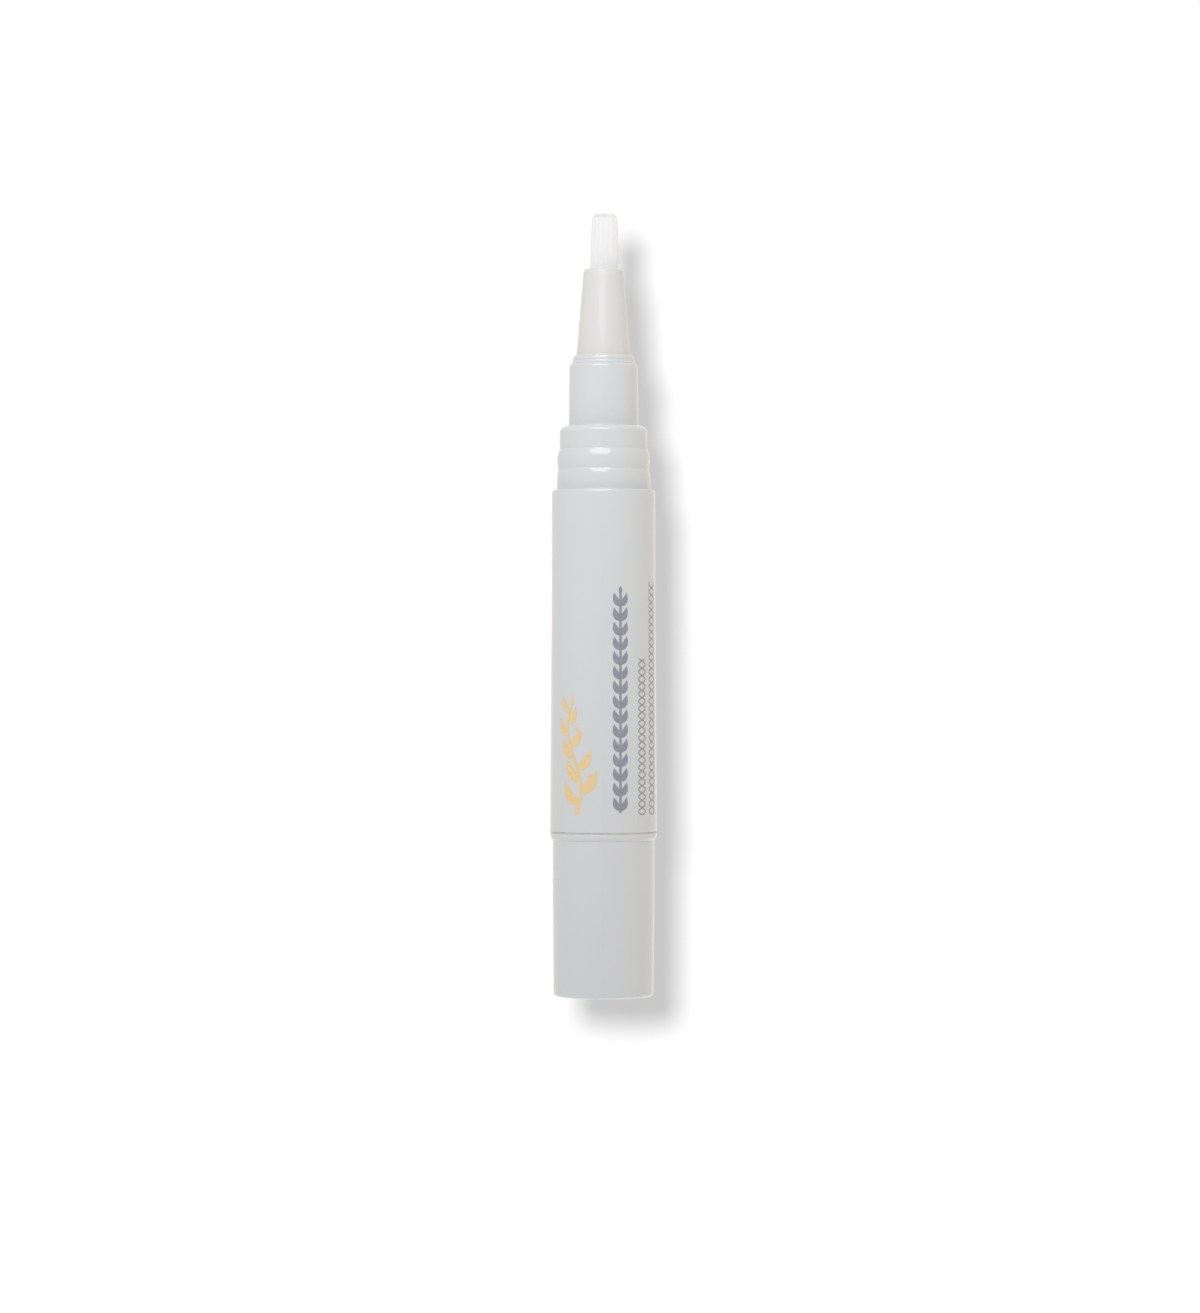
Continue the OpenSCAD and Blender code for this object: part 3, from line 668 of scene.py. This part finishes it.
def gold_sprig():
    """A flowing sprig with leaves on both sides and a few berries"""
    sprig = Print("gold_sprig", GOLD_INK)
    middle, foot, tall, wave = -3.85, PRINT_FOOT + 0.1, 13.6, 0.95
    leaves, leaf_length, leaf_width, curl = 9, 3.7, 1.4, 34
    berries, berry_out, berry_r = ((0.34, 1), (0.55, -1), (0.76, 1)), 1.35, 0.24

    def stem(t):
        return middle + wave * math.sin(math.tau * (0.9 * t + 0.05)), foot + tall * t

    def half_stem(t):
        return 0.27 - 0.13 * t

    sprig.ribbon(stem, half_stem, 48, 2)
    for i in range(leaves):
        t = 0.1 + 0.82 * i / (leaves - 1)
        u, v = stem(t)
        side = 1 if i % 2 else -1
        size = 1 - 0.45 * t
        sprig.leaf(u, v, side * (56 - 10 * t), leaf_length * size, leaf_width * size, -side * curl)
    u, v = stem(1)
    sprig.leaf(u, v - 0.2, 8, 1.2, 0.5)
    for t, side in berries:
        u, v = stem(t)
        sprig.dot(u + side * berry_out, v + 0.15, berry_r)
    sprig.finish()


def grey_garland():
    """A straight stem with pairs of leaves"""
    garland = Print("grey_garland", GREY_INK)
    middle, foot, tall, half_stem = 2.12, PRINT_FOOT + 0.3, 27.0, 0.16
    pairs, leaf_length, leaf_width, spread, curl = 15, 1.85, 0.8, 38, 24
    garland.ribbon(lambda t: (middle, foot + tall * t), lambda t: half_stem, 60, 2)
    for i in range(pairs):
        v = foot + 0.3 + (tall - 2.0) * i / (pairs - 1)
        for side in (-1, 1):
            garland.leaf(middle, v, side * spread, leaf_length, leaf_width, -side * curl)
    garland.leaf(middle, foot + tall - 0.2, 0, 1.0, 0.5)
    garland.finish()


def braid(name, middle, tall, wide):
    """Two fine waves that cross each other"""
    waves = Print(name, PALE_INK)
    half_line, pitch, steps_a_turn = 0.07, 0.9, 10
    turns = tall / pitch
    for side in (-1, 1):
        waves.ribbon(
            lambda t: (middle + side * wide / 2 * math.sin(math.pi * turns * t), PRINT_FOOT + tall * t),
            lambda t: half_line, int(turns * steps_a_turn), 1)
    waves.finish()


gold_sprig()
grey_garland()
braid("braid_long", 7.5, 28.6, 1.5)
braid("braid_short", 5.3, 19.2, 1.2)


# Camera

CAMERA_DISTANCE = 544.0
CAMERA_X = -0.425
CAMERA_Z = 41.96
CAMERA_LENS = 120.6
CAMERA_SENSOR = 36.0
CAMERA_CLIP = (10.0, 10000.0)


def make_camera():
    data = bpy.data.cameras.new("camera")
    data.lens = CAMERA_LENS
    data.sensor_width = CAMERA_SENSOR
    data.clip_start, data.clip_end = (reach * MM for reach in CAMERA_CLIP)
    camera = bpy.data.objects.new("camera", data)
    camera.location = Vector((CAMERA_X, -CAMERA_DISTANCE, CAMERA_Z)) * MM
    camera.rotation_euler = (math.pi / 2, 0, 0)
    SCENE.collection.objects.link(camera)
    SCENE.camera = camera


make_camera()


# Light

# The softbox, whose outline is in shares of its half width and half height
SOFTBOX_AIM_Z = 68.0
SOFTBOX_DISTANCE = 300.0
SOFTBOX_LEFT = math.radians(10)
SOFTBOX_UP = math.radians(36)
SOFTBOX_HALF = (150.0, 92.0)
SOFTBOX_OUTLINE = ((-0.45, -0.95), (0.45, -0.95), (1, -0.2), (0.72, 0.95), (-0.72, 0.95), (-1, -0.2))
SOFTBOX_LIGHT = 5.3

# The fill lamp over the tuft
FILL_ENERGY = 0.007
FILL_PLACE = (30.0, -11.0, 146.0)
FILL_SIZE = 40.0

# The shadow: how pale it is, how far it lies to the right of the pen and below it, and its soft edge
SHADOW_LEVEL = 0.54
SHADOW_SHIFT = (3.1, 3.05)
SHADOW_SOFT = 4.2
# The card's own shade, and the lamp that lights it, which aims right and down to light it evenly
CARD_SHADE = 0.05
SHADOW_ENERGY = 32.5
SHADOW_AIM = (125.0, 131.0)
# How far the shadow's shift, seen on the pen, is of the lamp's distance from the camera
PARALLAX = CARD_Y / (CAMERA_DISTANCE + CARD_Y)

# What lights the pen from each side
FRONT_LIGHT = (0.17, 0.178, 0.196)
LEFT_LIGHT = (0.82, 0.80, 0.755)
RIGHT_LIGHT = (0.98, 0.915, 0.82)
FLOOR_LIGHT = (1.95, 1.93, 1.91)
FLOOR_SIDE_LIGHT = (0.9, 0.87, 0.84)
CEILING_LIGHT = (0.5, 0.5, 0.5)
# What the pen's gloss mirrors: a dim strip straight ahead, pale beside it and all round
STRIP_LIGHT = (0.35, 0.35, 0.35)
BESIDE_LIGHT = (1.0, 0.99, 0.975)
ROUND_LIGHT = (1.0, 0.985, 0.965)
# Where one of these goes over into the next, in parts of a direction of length 1
LEFT_TO_RIGHT = (-0.6, 0.6)
FRONT_TO_SIDES = (-1.0, 0.1)
SIDES_TO_CEILING = (0.45, 0.85)
FLOOR_TO_SIDES = (-0.85, -0.4)
FLOOR_TO_ITS_SIDES = (0.2, 0.6)
STRIP_TO_BESIDE = (0.012, 0.035)
BESIDE_TO_ROUND = (-0.7, -0.5)


def hidden_from(piece, **rays):
    for ray, seen in rays.items():
        setattr(piece, f"visible_{ray}", seen)


def turn_to(thing, direction):
    """Turns the front of a lamp or a panel, its -Z side, to a direction"""
    thing.rotation_euler = direction.to_track_quat("-Z", "Y").to_euler()


def bare_material(name):
    """A material, its nodes, and the surface socket of its output, the one node in it"""
    material = bpy.data.materials.new(name)
    material.use_nodes = True
    nodes = Nodes(material.node_tree)
    nodes.tree.nodes.clear()
    return material, nodes, nodes.node("ShaderNodeOutputMaterial").inputs["Surface"]


def disk_lamp(name, place, direction, size, energy, piece):
    """A round lamp that reaches only one piece, by light linking"""
    data = bpy.data.lights.new(name, "AREA")
    data.shape = "DISK"
    data.size = size * MM
    data.energy = energy
    lamp = bpy.data.objects.new(name, data)
    lamp.location = Vector(place) * MM
    turn_to(lamp, direction)
    SCENE.collection.objects.link(lamp)
    reached = bpy.data.collections.new(f"{name}_reaches")
    reached.objects.link(piece)
    lamp.light_linking.receiver_collection = reached


def make_softbox():
    """A six-sided softbox above the camera and a little to its left, narrower at its lower edge"""
    half_w, half_h = SOFTBOX_HALF
    corners = [(x * half_w, y * half_h, 0) for x, y in SOFTBOX_OUTLINE]
    box = mesh_object("softbox", corners, [tuple(range(len(corners)))], False)
    level = SOFTBOX_DISTANCE * math.cos(SOFTBOX_UP)
    away = Vector((
        -level * math.sin(SOFTBOX_LEFT), -level * math.cos(SOFTBOX_LEFT),
        SOFTBOX_DISTANCE * math.sin(SOFTBOX_UP)))
    box.location = (Vector((0, 0, SOFTBOX_AIM_Z)) + away) * MM
    turn_to(box, -away)
    glow, nodes, surface = bare_material("softbox_glow")
    lit = nodes.node("ShaderNodeEmission", Color=(1, 1, 1, 1), Strength=SOFTBOX_LIGHT)
    nodes.link(lit.outputs[0], surface)
    box.data.materials.append(glow)
    hidden_from(box, camera=False, shadow=False, transmission=False)


def make_tuft_fill():
    """A soft fill from above for the white fibres, which real light passes through more evenly"""
    direction = Vector((0, 0, TUFT_TIP_Z)) - Vector(FILL_PLACE)
    disk_lamp("tuft_fill", FILL_PLACE, direction, FILL_SIZE, FILL_ENERGY, TUFT)


def make_card():
    """The pale surface behind the pen, seen only by the camera and only from the front"""
    h = CARD_SIDE / 2
    corners = [(-h, CARD_Y, -h), (h, CARD_Y, -h), (h, CARD_Y, h), (-h, CARD_Y, h)]
    card = mesh_object("pale_card", corners, [(0, 1, 2, 3)], False)
    paper, nodes, surface = bare_material("pale_card")
    paint = nodes.node("ShaderNodeBsdfDiffuse", Color=(CARD_SHADE, CARD_SHADE, CARD_SHADE, 1))
    glow = nodes.node("ShaderNodeEmission", Color=(SHADOW_LEVEL, SHADOW_LEVEL, SHADOW_LEVEL, 1))
    both = nodes.node("ShaderNodeAddShader")
    clear = nodes.node("ShaderNodeBsdfTransparent")
    side = nodes.node("ShaderNodeNewGeometry")
    swap = nodes.node("ShaderNodeMixShader")
    nodes.link(paint.outputs[0], both.inputs[0])
    nodes.link(glow.outputs[0], both.inputs[1])
    nodes.link(side.outputs["Backfacing"], swap.inputs["Fac"])
    nodes.link(both.outputs[0], swap.inputs[1])
    nodes.link(clear.outputs[0], swap.inputs[2])
    nodes.link(swap.outputs[0], surface)
    card.data.materials.append(paper)
    hidden_from(card, diffuse=False, glossy=False, transmission=False, volume_scatter=False, shadow=False)
    return card


def make_shadow_lamp(card):
    """A round lamp beside the camera that throws the pen's shadow on the card, down and to the right"""
    across, down = SHADOW_SHIFT
    place = (CAMERA_X - across / PARALLAX, -CAMERA_DISTANCE, CAMERA_Z + down / PARALLAX)
    right, low = SHADOW_AIM
    direction = Vector((right, CAMERA_DISTANCE + CARD_Y, -low))
    disk_lamp("shadow_lamp", place, direction, SHADOW_SOFT / PARALLAX, SHADOW_ENERGY, card)


def make_world():
    """White for the camera; for other rays a studio that is dimmer in front"""
    world = bpy.data.worlds.new("studio")
    world.use_nodes = True
    SCENE.world = world
    nodes = Nodes(world.node_tree)
    xyz = nodes.node("ShaderNodeSeparateXYZ")
    nodes.link(nodes.node("ShaderNodeTexCoord").outputs["Generated"], xyz.inputs[0])
    x, y, z = xyz.outputs
    off = nodes.maths("ABSOLUTE", x)

    def blend(value, edges, a, b):
        return nodes.mix(nodes.span(value, 0, 1, *edges), a, b)

    sides = blend(x, LEFT_TO_RIGHT, LEFT_LIGHT, RIGHT_LIGHT)
    around = blend(y, FRONT_TO_SIDES, FRONT_LIGHT, sides)
    above = blend(z, SIDES_TO_CEILING, around, CEILING_LIGHT)
    floor = blend(off, FLOOR_TO_ITS_SIDES, FLOOR_LIGHT, FLOOR_SIDE_LIGHT)
    room = blend(z, FLOOR_TO_SIDES, floor, above)
    ahead = blend(off, STRIP_TO_BESIDE, STRIP_LIGHT, BESIDE_LIGHT)
    mirrored = blend(y, BESIDE_TO_ROUND, ahead, ROUND_LIGHT)
    rays = nodes.node("ShaderNodeLightPath").outputs
    lit = nodes.mix(rays["Is Glossy Ray"], room, mirrored)
    straight = nodes.maths("MAXIMUM", rays["Is Camera Ray"], rays["Is Transmission Ray"])
    white = nodes.mix(straight, lit, (1.0, 1.0, 1.0))
    nodes.link(white, nodes.tree.nodes["Background"].inputs["Color"])


make_softbox()
make_tuft_fill()
make_shadow_lamp(make_card())
make_world()

SCENE.view_settings.view_transform = "Standard"
